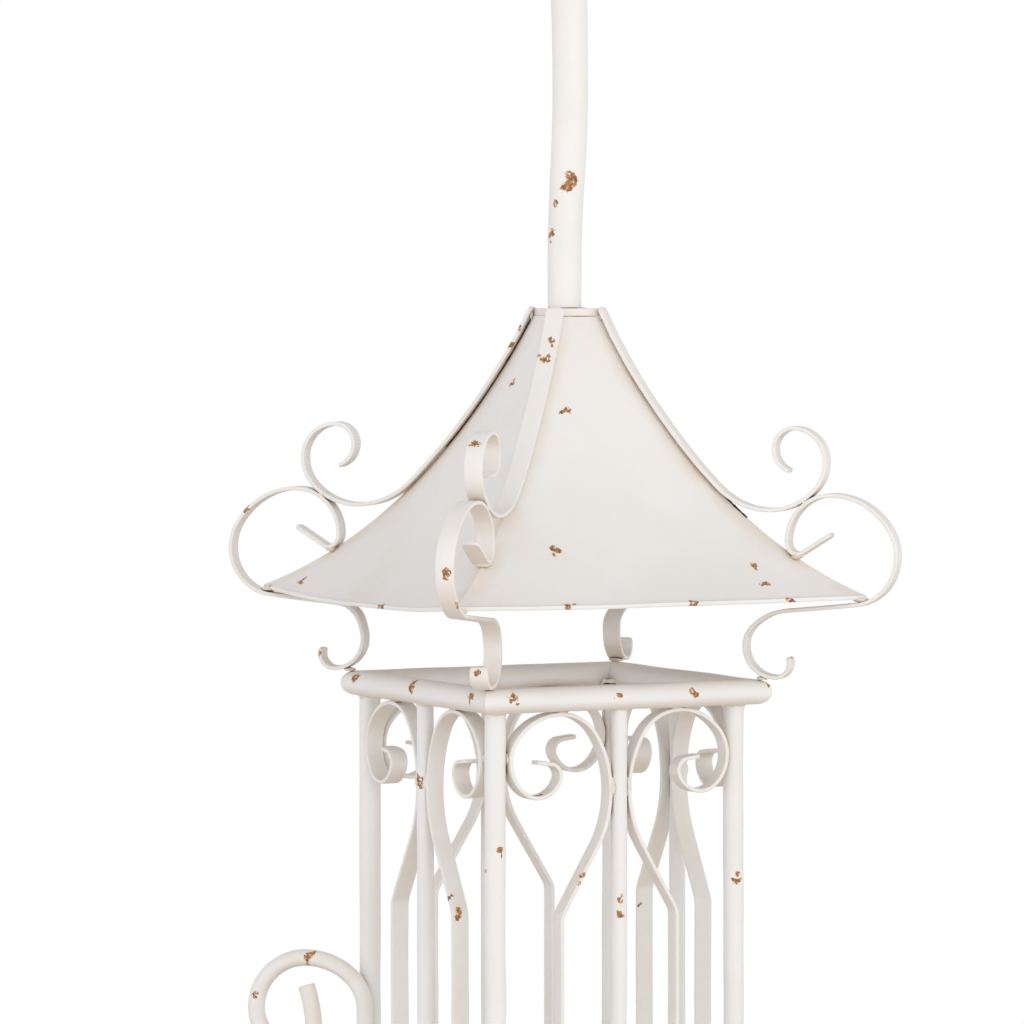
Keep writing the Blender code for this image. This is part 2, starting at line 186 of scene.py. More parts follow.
class Graph:
    """Small wrapper that adds nodes and links sockets by name."""

    def __init__(self, tree):
        self.tree = tree

    def add(self, kind, values=None, **settings):
        node = self.tree.nodes.new(kind)
        for key, value in settings.items():
            setattr(node, key, value)
        for key, value in (values or {}).items():
            socket = node.inputs[key]
            if isinstance(value, bpy.types.NodeSocket):
                self.tree.links.new(value, socket)
            else:
                socket.default_value = value
        return node

    def math(self, operation, *values, clamp=False):
        node = self.add("ShaderNodeMath", dict(enumerate(values)), operation=operation)
        node.use_clamp = clamp
        return node.outputs[0]

    def mix(self, factor, first, second):
        node = self.add("ShaderNodeMix", data_type="RGBA", blend_type="MIX")
        for index, value in ((0, factor), (6, first), (7, second)):
            if isinstance(value, bpy.types.NodeSocket):
                self.tree.links.new(value, node.inputs[index])
            else:
                node.inputs[index].default_value = value
        return node.outputs[2]

    def ramp(self, value, low, high):
        """0 below low, 1 above high, smooth between."""
        node = self.add("ShaderNodeMapRange", {"Value": value, "From Min": low, "From Max": high},
                        interpolation_type="SMOOTHSTEP")
        return node.outputs["Result"]

    def noise(self, vector, scale, detail=3.0, roughness=0.55, distortion=0.0):
        node = self.add("ShaderNodeTexNoise", {
            "Vector": vector, "Scale": scale, "Detail": detail, "Roughness": roughness,
            "Distortion": distortion})
        return node.outputs["Fac"]


def colour(r, g, b):
    return (r, g, b, 1.0)


def chip_masks(g, where, inputs):
    """Bare iron, and the torn ring of undercoat round it, where the wear is high."""
    # Scattered bare spots on the sides that have none listed.
    cells = g.add("ShaderNodeTexVoronoi", {"Vector": where, "Scale": 17.0, "Randomness": 1.0})
    pick = g.add("ShaderNodeSeparateColor", {0: cells.outputs["Color"]})
    chosen = g.math("GREATER_THAN", pick.outputs[0], 0.72)
    near = g.math("SUBTRACT", 1.0, g.math("MULTIPLY", cells.outputs["Distance"], 7.0), clamp=True)
    scatter = g.math("MULTIPLY", g.math("MULTIPLY", near, chosen), inputs["Scatter"])
    wear = g.math("MAXIMUM", scatter, inputs["Wear"])

    # Ragged edge of each chip, and islands of paint left inside it.
    ragged = g.noise(where, 230.0, 5.0, 0.68, 0.9)
    level = g.math("SUBTRACT", wear, g.math("MULTIPLY", ragged, 1.25))
    bare = g.ramp(level, -0.17, -0.12)
    torn = g.ramp(level, -0.33, -0.17)
    left = g.ramp(g.noise(where, 410.0, 2.0, 0.5, 0.5), 0.56, 0.60)
    return g.math("MULTIPLY", bare, g.math("SUBTRACT", 1.0, left)), torn


def coat_colour(g, where, blotch, stain):
    """White paint with grime and painted shade in the crevices, a painted near-black shadow in the deepest
    gaps, cream stains and a brown wash of painted shade on the undersides.
    """
    speck = g.noise(where, 900.0, 2.0, 0.5)
    coat = g.mix(g.ramp(blotch, 0.35, 0.75), colour(0.815, 0.800, 0.785), colour(0.790, 0.768, 0.735))
    coat = g.mix(g.math("MULTIPLY", g.ramp(speck, 0.62, 0.78), 0.10), coat, colour(0.66, 0.60, 0.52))
    # Tan where the parts crowd each other: partly grime, partly painted shade that stands in for the
    # occlusion.
    crevice = g.add("ShaderNodeAmbientOcclusion", {"Distance": 0.0045}, samples=8, only_local=False)
    hidden = g.math("SUBTRACT", 1.0, crevice.outputs["AO"], clamp=True)
    grime_and_shade = g.math("MULTIPLY", hidden, g.math("ADD", 0.45, g.noise(where, 120.0, 3.0)))
    coat = g.mix(g.ramp(grime_and_shade, 0.28, 0.95), coat, colour(0.62, 0.49, 0.38))
    cream = g.math("MULTIPLY", stain, g.ramp(g.noise(where, 38.0, 3.0, 0.55), 0.25, 0.75))
    coat = g.mix(cream, coat, colour(0.76, 0.64, 0.50))
    # Painted shade: faces turned downwards are tinted tan, as if in the shade beneath the piece.
    facing = g.add("ShaderNodeSeparateXYZ", {0: g.add("ShaderNodeNewGeometry").outputs["Normal"]})
    under = g.math("MULTIPLY", g.ramp(facing.outputs[2], -0.10, -0.85), 0.65)
    coat = g.mix(under, coat, colour(0.66, 0.55, 0.44))
    # Painted shadow: near-black where the occlusion is deepest, in the gaps between touching parts.
    return g.mix(g.ramp(hidden, 0.78, 0.97), coat, colour(0.11, 0.08, 0.06))


def rust_colours(g, where, grain):
    """The rust in a chip, and the stained undercoat round it."""
    rust = g.mix(g.ramp(grain, 0.38, 0.60), colour(0.170, 0.082, 0.042), colour(0.45, 0.235, 0.110))
    fringe = g.mix(g.ramp(g.noise(where, 380.0, 2.0), 0.40, 0.56), colour(0.86, 0.80, 0.72),
                   colour(0.64, 0.36, 0.15))
    return rust, fringe


def paint_group():
    """Old white paint: cream grime and painted shade in the crevices, chips down to rusty iron where the
    wear field is high.
    """
    group = bpy.data.node_groups.new("antique_paint", "ShaderNodeTree")
    for name, kind in (("Position", "NodeSocketVector"), ("Wear", "NodeSocketFloat"),
                       ("Stain", "NodeSocketFloat"), ("Scatter", "NodeSocketFloat")):
        group.interface.new_socket(name, in_out="INPUT", socket_type=kind)
    for name, kind in (("Color", "NodeSocketColor"), ("Roughness", "NodeSocketFloat"),
                       ("Height", "NodeSocketFloat")):
        group.interface.new_socket(name, in_out="OUTPUT", socket_type=kind)
    g = Graph(group)
    inputs = g.add("NodeGroupInput").outputs
    where = inputs["Position"]

    bare, torn = chip_masks(g, where, inputs)
    blotch = g.noise(where, 14.0, 4.0, 0.6)
    coat = coat_colour(g, where, blotch, inputs["Stain"])
    grain = g.noise(where, 480.0, 4.0, 0.7)
    rust, fringe = rust_colours(g, where, grain)
    shade = g.mix(torn, coat, fringe)
    shade = g.mix(bare, shade, rust)
    lumps = g.noise(where, 85.0, 3.0, 0.5)
    fine = g.noise(where, 520.0, 3.0, 0.6)
    height = g.math("ADD", g.math("MULTIPLY", lumps, 0.5), g.math("MULTIPLY", fine, 0.14))
    height = g.math("SUBTRACT", height, g.math("MULTIPLY", bare, g.math("ADD", 0.35, grain)))
    rough = g.math("ADD", g.math("MULTIPLY", blotch, 0.16), 0.40)
    rough = g.math("ADD", rough, g.math("MULTIPLY", bare, 0.35), clamp=True)
    g.add("NodeGroupOutput", {"Color": shade, "Roughness": rough, "Height": height})
    return group


PAINT = paint_group()


def wear_field(g, where, spots):
    """Sum of the falling-off fields round the bare spots, so that near ones run together."""
    wobble = g.add("ShaderNodeTexNoise", {"Vector": where, "Scale": 330.0, "Detail": 2.0})
    shift = g.add("ShaderNodeVectorMath", {0: wobble.outputs["Color"], 1: (0.5, 0.5, 0.5)},
                  operation="SUBTRACT").outputs[0]
    bent = g.add("ShaderNodeVectorMath", {0: shift, 1: (0.0042, 0.0042, 0.0042), 2: where},
                 operation="MULTIPLY_ADD").outputs[0]
    field = 0.0
    for x, y, z, radius in spots:
        gap = g.add("ShaderNodeVectorMath", {0: bent, 1: (x, y, z)}, operation="DISTANCE")
        near = g.math("SUBTRACT", 1.0, g.math("DIVIDE", gap.outputs["Value"], radius * 1.15), clamp=True)
        field = near if isinstance(field, float) else g.math("ADD", field, near)
    return field


def far_side(g, where):
    """1 on the sides and heights where bare spots are scattered at random, else 0."""
    split = g.add("ShaderNodeSeparateXYZ", {0: where})
    x, y, z = split.outputs
    # None on the rim of the top frame, which is seen from the front through the open cage.
    facing = g.math("ADD", g.math("MULTIPLY", x, TOWARD_X), g.math("MULTIPLY", y, TOWARD_Y))
    behind = g.ramp(facing, 0.045, 0.02)
    rim = g.math("MULTIPLY", g.ramp(z, 0.590, 0.595), g.ramp(z, 0.640, 0.635))
    behind = g.math("MULTIPLY", behind, g.math("SUBTRACT", 1.0, rim))
    above = g.ramp(z, 1.14, 1.16)
    below = g.ramp(z, 0.36, 0.33)
    return g.math("MAXIMUM", behind, g.math("MAXIMUM", above, below))


def ridge_stain(g, where):
    """Cream bleeding along the roof's ridges."""
    split = g.add("ShaderNodeSeparateXYZ", {0: where})
    x, y, z = split.outputs
    off = g.math("ABSOLUTE", g.math("SUBTRACT", g.math("ABSOLUTE", x), g.math("ABSOLUTE", y)))
    side = g.math("MULTIPLY", g.ramp(off, 0.022, 0.003), 0.6)
    top = g.math("MULTIPLY", g.ramp(z, 0.876, 0.889), 0.6)
    return g.math("MAXIMUM", side, top)


def worn_spots(obj, roof):
    """Loose clusters of round spots, as (x, y, z, radius), on the worn places of a piece made by skin."""
    name = obj.name.removeprefix("painted_")
    if name not in WORN:
        return []
    count = obj["section"]
    verts = [vert.co for vert in obj.data.vertices]
    rings = [verts[k:k + count] for k in range(0, len(verts), count)]
    middles = [sum(ring, Vector()) / count for ring in rings]
    reach = [0.0]
    for first, second in zip(middles, middles[1:]):
        reach.append(reach[-1] + (second - first).length)
    draw = random.Random(seed_of(name))
    spots = []
    for along, around, size in WORN[name]:
        if roof:
            ring, place = rings[round(along * (len(rings) - 1))], around * SLOPE_STEPS
        else:
            ring = rings[min(range(len(rings)), key=lambda k: abs(reach[k] - along))]
            place = around * count
        here = int(place) % count
        centre = ring[here].lerp(ring[(here + 1) % count], place - int(place))
        spots.append((*centre, size * CLUSTER_CORE))
        for _ in range(CLUSTER_SPOTS):
            way = Vector([draw.gauss(0.0, 1.0) for _ in range(3)]).normalized()
            off = way * size * draw.uniform(0.7, 1.3)
            spots.append((*(centre + off), size * draw.uniform(0.45, 0.75)))
    return spots


def painted(obj, stain=0.0, roof=False):
    """The paint on one piece, worn where its list of places says."""
    material = bpy.data.materials.new("paint_" + obj.name)
    material.use_nodes = True
    tree = material.node_tree
    shader = tree.nodes["Principled BSDF"]
    g = Graph(tree)
    where = g.add("ShaderNodeTexCoord").outputs["Object"]
    values = {"Position": where, "Wear": wear_field(g, where, worn_spots(obj, roof)),
              "Stain": ridge_stain(g, where) if roof else stain, "Scatter": far_side(g, where)}
    paint = g.add("ShaderNodeGroup", node_tree=PAINT)
    for key, value in values.items():
        if isinstance(value, bpy.types.NodeSocket):
            tree.links.new(value, paint.inputs[key])
        else:
            paint.inputs[key].default_value = value
    bump = g.add("ShaderNodeBump", {"Strength": 0.35, "Distance": 0.0006,
                                    "Height": paint.outputs["Height"]})
    tree.links.new(paint.outputs["Color"], shader.inputs["Base Color"])
    tree.links.new(paint.outputs["Roughness"], shader.inputs["Roughness"])
    tree.links.new(bump.outputs["Normal"], shader.inputs["Normal"])
    shader.inputs["Specular IOR Level"].default_value = 0.35
    return material


# --- geometry helpers -------------------------------------------------------------------------

def bent_path(start, heading, moves, mirrored=False, step=3.0, straight=0.004):
    """Points along a run of lines and arcs in a plane."""
    x, y = start
    angle = math.radians(heading)
    points = [(x, y)]
    for move in moves:
        if move[0] == "line":
            steps = max(1, math.ceil(move[1] / straight))
            chord, turn = move[1] / steps, 0.0
        else:
            steps = max(2, math.ceil(abs(move[2]) / step))
            turn = math.radians(move[2]) / steps
            chord = 2.0 * move[1] * math.sin(abs(turn) / 2.0)
        for _ in range(steps):
            x += chord * math.cos(angle + turn / 2.0)
            y += chord * math.sin(angle + turn / 2.0)
            angle += turn
            points.append((x, y))
    return [(-px, py) for px, py in points] if mirrored else points


def ridge_point(t, offset=0.0):
    """Point on the ridge curve at 0..1, moved out square to it by the offset, and the heading there."""
    (r0, z0), (r1, z1), (r2, z2) = RIDGE_CURVE
    r = (1 - t) ** 2 * r0 + 2 * t * (1 - t) * r1 + t * t * r2
    z = (1 - t) ** 2 * z0 + 2 * t * (1 - t) * z1 + t * t * z2
    dr = 2 * (1 - t) * (r1 - r0) + 2 * t * (r2 - r1)
    dz = 2 * (1 - t) * (z1 - z0) + 2 * t * (z2 - z1)
    length = math.hypot(dr, dz)
    return (r - offset * dz / length, z + offset * dr / length), math.degrees(math.atan2(dz, dr))


def upright_plane(angle, distance=0.0, height=0.0, radial=True):
    """Drawing plane at an angle about Z: its X runs outward if radial, else along the face; its Y is up."""
    turn = math.radians(angle)
    outward = Vector((math.cos(turn), math.sin(turn), 0.0))
    up = Vector((0.0, 0.0, 1.0))
    across = outward if radial else up.cross(outward)
    matrix = Matrix((across, up, across.cross(up))).transposed().to_4x4()
    matrix.translation = outward * distance + up * height
    return matrix


def corner_centre(corner, distance):
    turn = math.radians(CORNERS[corner])
    return Vector((math.cos(turn), math.sin(turn), 0.0)) * distance * math.sqrt(2.0)


def uneven(point, seed, low=0.0004, high=0.00010):
    """Handmade unevenness: a slow wander and a fine lumpiness."""
    shift = Vector((seed * 7.31, seed * 3.17, seed * 5.77))
    slow = noise.noise_vector(point * 18.0 + shift) * low
    fine = noise.noise_vector(point * 160.0 + shift) * high
    return point + slow + fine


def rounded_bar(width, thickness, radius, steps=4):
    """Closed outline of a flat bar with rounded edges, as (across the thickness, across the width)."""
    outline = []
    half_t, half_w = thickness / 2.0 - radius, width / 2.0 - radius
    for quarter, (a, b) in enumerate(((half_t, half_w), (-half_t, half_w),
                                      (-half_t, -half_w), (half_t, -half_w))):
        for step in range(steps + 1):
            angle = math.radians(90.0 * (quarter + step / steps))
            outline.append((a + radius * math.cos(angle), b + radius * math.sin(angle)))
    return outline


def round_bar(radius, sides=32):
    return [(radius * math.cos(2 * math.pi * k / sides), radius * math.sin(2 * math.pi * k / sides))
            for k in range(sides)]


def skin(name, rings, sharp=40.0):
    """Mesh through a run of rings with the same number of points, capped at both ends."""
    shape = bmesh.new()
    rows = [[shape.verts.new(point) for point in ring] for ring in rings]
    count = len(rows[0])
    for first, second in zip(rows, rows[1:]):
        for k in range(count):
            j = (k + 1) % count
            shape.faces.new((first[k], first[j], second[j], second[k]))
    shape.faces.new(rows[0][::-1])
    shape.faces.new(rows[-1])
    bmesh.ops.recalc_face_normals(shape, faces=shape.faces)
    limit = math.radians(sharp)
    for face in shape.faces:
        face.smooth = True
    for edge in shape.edges:
        edge.smooth = len(edge.link_faces) != 2 or edge.calc_face_angle(0.0) < limit
    mesh = bpy.data.meshes.new(name)
    shape.to_mesh(mesh)
    shape.free()
    obj = bpy.data.objects.new(name, mesh)
    obj["section"] = count
    bpy.context.scene.collection.objects.link(obj)
    return obj


def sweep(name, points, outline, matrix, seed, chamfer=0.0005, scale=None, wander=0.0004, corner=0.0):
    """Carries an outline along a path drawn in a plane. The corner rounds a flat bar's ends."""
    count = len(points)
    length = [0.0]
    for first, second in zip(points, points[1:]):
        length.append(length[-1] + math.dist(first, second))
    rings = []
    for i, point in enumerate(points):
        before, after = points[max(i - 1, 0)], points[min(i + 1, count - 1)]
        tangent = Vector((after[0] - before[0], after[1] - before[1])).normalized()
        grow = scale(i) if scale else 1.0
        short = max(corner - min(length[i], length[-1] - length[i]), 0.0)
        narrow = corner - math.sqrt(max(corner ** 2 - short ** 2, 0.0))
        rings.append((Vector(point), tangent, grow, narrow, 0.0))
    if chamfer:
        for end, way in ((0, 1.0), (-1, -1.0)):
            place, tangent, grow, narrow, _ = rings[end]
            rings[end] = (place + tangent * chamfer * way, tangent, grow, narrow * 0.8, 0.0)
            rings.insert(0 if end == 0 else len(rings), (place, tangent, grow, narrow, chamfer))
    placed = []
    for place, tangent, grow, narrow, inset in rings:
        normal = Vector((-tangent.y, tangent.x))
        ring = []
        for a, b in outline:
            shrink = grow * (1.0 - inset / math.hypot(a, b))
            flat = place + normal * a * shrink
            across = math.copysign(max(abs(b) - narrow, 0.0), b) * shrink
            ring.append(uneven(matrix @ Vector((flat.x, flat.y, across)), seed, wander))
        placed.append(ring)
    return skin(name, placed)


def settle(point, group):
    """Where a point of the true shape ends up in the hand-built one."""
    turned = Matrix.Rotation(math.radians(CAGE_TURN), 3, "Z") @ point
    frame_point = turned + Vector((*FRAME_SHIFT, 0.0))
    toward = Vector((1.0, -1.0, 0.0)).normalized()
    reach = max(point.dot(toward), 0.0)
    lean = Vector((*ROOF_LEAN, 0.0)) * max(point.z - ROOF_LEAN_START_Z, 0.0)
    roof_point = point + Vector((*ROOF_SHIFT, 0.0)) + lean - toward * FRONT_RIGHT_TUCK * reach ** 2
    if group == "frame":
        return frame_point
    if group == "body":
        drawn = Vector((turned.x * BODY_DRAW_IN, turned.y * BODY_DRAW_IN, turned.z))
        u = 0.5 + point.x / (2.0 * CORNER_POST_CENTRE)
        v = 0.5 + point.y / (2.0 * CORNER_POST_CENTRE)
        lean = sum(amount * (u if right else 1.0 - u) * (v if back else 1.0 - v)
                   for (right, back), amount in BODY_LEAN.items())
        return drawn + Vector((*BODY_SHIFT, 0.0)) + VIEW_RIGHT * lean
    if group == "roof":
        return roof_point
    share = min(max((point.z - SCROLL_BLEND_Z) / SCROLL_BLEND_HEIGHT, 0.0), 1.0)
    return frame_point.lerp(roof_point, share * share * (3.0 - 2.0 * share))


def finish_piece(obj, body, nodes=(), group=None, stain=0.0, roof=False):
    """Settles a piece into the hand-built shape, paints it and ties it to the frame."""
    if group:
        for vert in obj.data.vertices:
            vert.co = settle(vert.co, group)
    obj.data.materials.append(painted(obj, stain, roof))
    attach(obj, body)
    if nodes:
        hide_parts(*nodes)
    return obj


def seed_of(name):
    return sum((k + 1) * ord(letter) for k, letter in enumerate(name)) % 97


# --- pieces -----------------------------------------------------------------------------------

BAR = rounded_bar(STRIP_WIDTH, STRIP_THICKNESS, STRIP_EDGE)


def make_rails():
    for level, z in (("top", TOP_FRAME_Z), ("lower", LOW_FRAME_Z)):
        for face, angle in FACES.items():
            name = f"{level}_rail_{face}"
            matrix = upright_plane(angle, FRAME_HALF, z, radial=False)
            rings = []
            steps = 60
            for k in range(steps + 1):
                share = 2.0 * k / steps - 1.0
                ring = []
                for out, up in round_bar(RAIL_RADIUS, 40):
                    along = share * (FRAME_HALF + out - MITRE_GAP)
                    ring.append(uneven(matrix @ Vector((along, up, out)), 3.0, 0.0005))
                rings.append(ring)
            group = "frame" if level == "top" else "body"
            finish_piece(skin("painted_" + name, rings), "cage", [name], group)


def make_tube(name, place, radius, bottom, top, node, wander=0.0006):
    points = [(0.0, bottom + (top - bottom) * k / 90.0) for k in range(91)]
    matrix = Matrix.Translation((place[0], place[1], 0.0)) @ upright_plane(0.0)
    obj = sweep(name, points, round_bar(radius), matrix, seed_of(name), wander=wander)
    return finish_piece(obj, "cage", [node], "body")


def make_uprights():
    for corner in CORNERS:
        place = corner_centre(corner, CORNER_POST_CENTRE)
        make_tube("painted_corner_post_" + corner, place, CORNER_POST_RADIUS, LOW_FRAME_Z + POST_TUCK,
                  TOP_FRAME_Z - POST_TOP_TUCK, "corner_post_" + corner)
        make_tube("painted_leg_" + corner, place, CORNER_POST_RADIUS, FOOT_SEAT,
                  LOW_FRAME_Z - POST_TUCK, "leg_" + corner, wander=0.0001)
        rings = []
        for radius, z in ((0.0150, 0.0), (0.0186, 0.0), (0.0190, 0.0008), (0.0190, 0.0030),
                          (0.0182, 0.0043), (0.0160, 0.0050), (0.0100, 0.0052), (0.0060, 0.0053)):
            rings.append([Vector((place.x + a, place.y + b, z)) for a, b in round_bar(radius, 48)])
        finish_piece(skin("painted_foot_" + corner, rings), "cage", ["foot_" + corner], "body")
    for face, angle in FACES.items():
        place = upright_plane(angle, MID_POST_PLANE).translation
        make_tube("painted_mid_post_" + face, place, MID_POST_RADIUS, LOW_FRAME_Z + MID_POST_TUCK,
                  TOP_FRAME_Z - MID_POST_TUCK, "mid_post_" + face)


def infill_path(mirrored):
    under_rail = TOP_FRAME_Z - RAIL_RADIUS
    base = LOW_FRAME_Z + INFILL_BASE_RISE
    rise = under_rail + INFILL_BEND_Z - base
    return bent_path((INFILL_STEM, base), 90.0, (("line", rise), *INFILL_BENDS), mirrored)


def make_infill():
    for face, angle in FACES.items():
        for side, mirrored in (("a", False), ("b", True)):
            name = f"infill_scroll_{face}_{side}"
            matrix = upright_plane(angle, INFILL_PLANE, radial=False)
            obj = sweep("painted_" + name, infill_path(mirrored), BAR, matrix, seed_of(name), corner=0.002)
            finish_piece(obj, "cage", [name], "body", stain=0.25)


def ridge_strip_path():
    """From the cap plate's corner, over its edge, down the ridge and out into the curl."""
    offset = STRIP_THICKNESS / 2.0 + PAINT_FILM
    ridge = [ridge_point(RIDGE_CURL_START * k / 40.0, offset) for k in range(41)]
    start, heading = ridge[-1]
    (top_r, top_z), (low_r, low_z) = ridge[0][0], ridge[4][0]
    rise = []
    for k in range(12):
        u = k / 12.0
        a, b, c = (1 - u) ** 2, 2 * u * (1 - u), u * u
        rise.append((a * (top_r - 0.0020) + b * (top_r + 0.0003) + c * low_r,
                     a * (top_z + 0.0060) + b * (top_z + 0.0010) + c * low_z))
    return rise + [point for point, _ in ridge[4:-1]] + bent_path(start, heading, RIDGE_CURL)


def panel_outline():
    """Closed outline of the sheet and its rolled hem, as (distance from the axis, height)."""
    scale = 1.0 / math.sqrt(2.0)
    count = SLOPE_STEPS
    outer = [ridge_point(k / count)[0] for k in range(count + 1)]
    inner = [ridge_point(k / count, -0.0014)[0] for k in range(count + 1)]
    outer = [(r * scale, z) for r, z in outer]
    inner = [(r * scale, z) for r, z in inner]
    hem = [(0.17225, 0.0030), (0.17240, 0.0020), (0.17235, 0.0008), (0.17190, 0.0001),
           (0.17100, 0.0000), (0.17040, 0.0006), (0.17010, 0.0016)]
    return outer + hem + [point for point in inner[::-1] if point[0] < 0.1698]


def make_panel(face, angle, sag):
    matrix = upright_plane(angle, 0.0, EAVE_Z)
    outline = panel_outline()
    rings = []
    columns = 72
    for column in range(columns + 1):
        v = 2.0 * column / columns - 1.0
        ring = []
        for d, z in outline:
            low = max(0.0, 1.0 - z / 0.10)
            drop = sag * (1.0 - v * v) * low * low * (3.0 - 2.0 * low)
            point = matrix @ Vector((d, z - drop, v * d))
            edge = min(1.0, (1.0 - abs(v)) * 8.0)
            wave = noise.noise(point * 11.0 + Vector((angle, 0.0, 0.0))) * 0.0011 * edge
            wave += noise.noise(point * 34.0) * 0.0003 * edge
            outward = matrix.to_3x3() @ Vector((0.7, 0.7, 0.0))
            ring.append(point + outward * wave)
        rings.append(ring)
    name = "roof_panel_" + face
    finish_piece(skin("painted_" + name, rings, sharp=50.0), "cage", [name], "roof", roof=True)


def make_roof():
    for face, angle in FACES.items():
        make_panel(face, angle, LEFT_EAVE_SAG if face == "left" else EAVE_SAG)
    for corner, angle in CORNERS.items():
        matrix = upright_plane(angle, 0.0, EAVE_Z)
        name = "ridge_strip_" + corner
        obj = sweep("painted_" + name, ridge_strip_path(), BAR, matrix, seed_of(name), corner=0.003)
        finish_piece(obj, "cage", [name], "roof", stain=0.15)
        name = "corner_scroll_" + corner
        obj = sweep("painted_" + name, bent_path(*CORNER_SCROLL), BAR, matrix, seed_of(name), corner=0.002)
        finish_piece(obj, "cage", [name], "scroll", stain=0.25)


def raw_iron():
    """Near-black colour for the painted shadow seen in the gaps along the roof's ridges."""
    material = bpy.data.materials.new("raw_iron")
    material.use_nodes = True
    shader = material.node_tree.nodes["Principled BSDF"]
    g = Graph(material.node_tree)
    where = g.add("ShaderNodeTexCoord").outputs["Object"]
    mottle = g.mix(g.ramp(g.noise(where, 300.0), 0.35, 0.65), colour(0.030, 0.021, 0.015),
                   colour(0.085, 0.055, 0.036))
    material.node_tree.links.new(mottle, shader.inputs["Base Color"])
    shader.inputs["Roughness"].default_value = 0.8
    return material


def make_shadow_seams():
    """Thin dark rods as painted shadow in the gap beneath the back-left ridge strip, and short ones as the
    shadows by the ridge welds.
    """
    spans = {"back_left": (0.0, 0.36, 0.0012), "front_right": (0.46, 0.60, 0.0009),
             "back_right": (0.0, 0.30, 0.0009)}
    for corner, (begin, finish, radius) in spans.items():
        matrix = upright_plane(CORNERS[corner], 0.0, EAVE_Z)
        points = [ridge_point(begin + (finish - begin) * k / 40.0, -0.0002)[0] for k in range(41)]
        thick = [1.0 + 0.5 * noise.noise(Vector((k * 0.31, radius * 9000.0, 0.0))) for k in range(43)]
        obj = sweep("raw_seam_" + corner, points, round_bar(radius, 10), matrix, 6.0,
                    scale=lambda i: thick[i], wander=0.0002)
        finish_piece(obj, "cage", (), "roof")
        # Painted shadow: the rods carry a near-black colour, not paint or iron.
        obj.data.materials[0] = raw_iron()


def cap_rings():
    base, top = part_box("roof_cap_plate")[0][2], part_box("roof_cap_plate")[1][2]
    edge = CAP_EDGE
    rings = []
    for inset, z in ((0.004, base), (edge, base), (edge * 0.3, base + edge * 0.3), (0.0, base + edge),
                     (0.0, top - edge), (edge * 0.3, top - edge * 0.3), (edge, top), (0.006, top)):
        ring = []
        side = CAP_HALF - inset
        round_off = max(0.0015 - inset * 0.4, 0.0003)
        for quarter in range(4):
            for step in range(5):
                turn = math.radians(90.0 * (quarter + step / 4.0))
                x = (side - round_off) * (1 if quarter in (0, 3) else -1) + round_off * math.cos(turn)
                y = (side - round_off) * (1 if quarter in (0, 1) else -1) + round_off * math.sin(turn)
                ring.append(uneven(Vector((x, y, z)), 2.0, 0.0003))
        rings.append(ring)
    return rings


def make_top():
    finish_piece(skin("painted_roof_cap_plate", cap_rings()), "cage", ["roof_cap_plate"], "roof", stain=0.8)
    low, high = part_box("pole_spigot")
    rings = []
    for radius, z in ((0.0100, low[2]), (0.0104, low[2] + 0.0004), (0.0104, high[2] - 0.0015),
                      (0.0089, high[2])):
        rings.append([Vector((a, b, z)) for a, b in round_bar(radius, 32)])
    finish_piece(skin("painted_pole_spigot", rings), "cage", ["pole_spigot"])


def make_pole():
    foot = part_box("pole")[0][2]
    points = bent_path(*POLE_PATH, step=1.2, straight=0.006)

    def swell(i):
        return 1.0 + (POLE_SWELL - 1.0) * min(points[min(i, len(points) - 1)][1] / POLE_SWELL_HEIGHT, 1.0)

    matrix = upright_plane(0.0, 0.0, foot)
    obj = sweep("painted_pole", points, round_bar(POLE_RADIUS, 48), matrix, 5.0, scale=swell,
                wander=0.0006, chamfer=0.0004)
    finish_piece(obj, "pole", ["pole"])
    end, before = Vector(points[-1]), Vector(points[-2])
    out = (end - before).normalized()
    side = Vector((-out.y, out.x))
    rings = []
    for k in range(25):
        angle = math.radians(-62.0 + (90.0 + 62.0) * k / 25.0)
        centre = end + out * (0.0078 + CROOK_BALL * math.sin(angle))
        reach = CROOK_BALL * math.cos(angle)
        rings.append([matrix @ Vector(((centre + side * reach * math.cos(t)).x,
                                       (centre + side * reach * math.cos(t)).y, reach * math.sin(t)))
                      for t in (2.0 * math.pi * s / 40.0 for s in range(40))])
    finish_piece(skin("painted_crook_tip", rings), "pole", ["crook_tip"])


def make_side_scroll():
    upper = bent_path((ROD_PLANE_RADIUS, 0.0), 90.0, ROD_BENDS)
    points = [(r, -z) for r, z in reversed(upper[1:])] + upper
    matrix = upright_plane(CORNERS["back_left"], 0.0, ROD_MIDDLE_Z)
    sideways = corner_centre("front_left", 1.0).normalized()
    matrix.translation += sideways * (CORNER_POST_RADIUS + ROD_RADIUS + TOUCH_GAP)
    matrix.translation += corner_centre("back_left", 1.0).normalized() * SIDE_SCROLL_OUT
    obj = sweep("painted_side_scroll", points, round_bar(ROD_RADIUS, 36), matrix, 8.0, chamfer=0.0010)
    finish_piece(obj, "cage", ["side_scroll"], "body", stain=0.3)


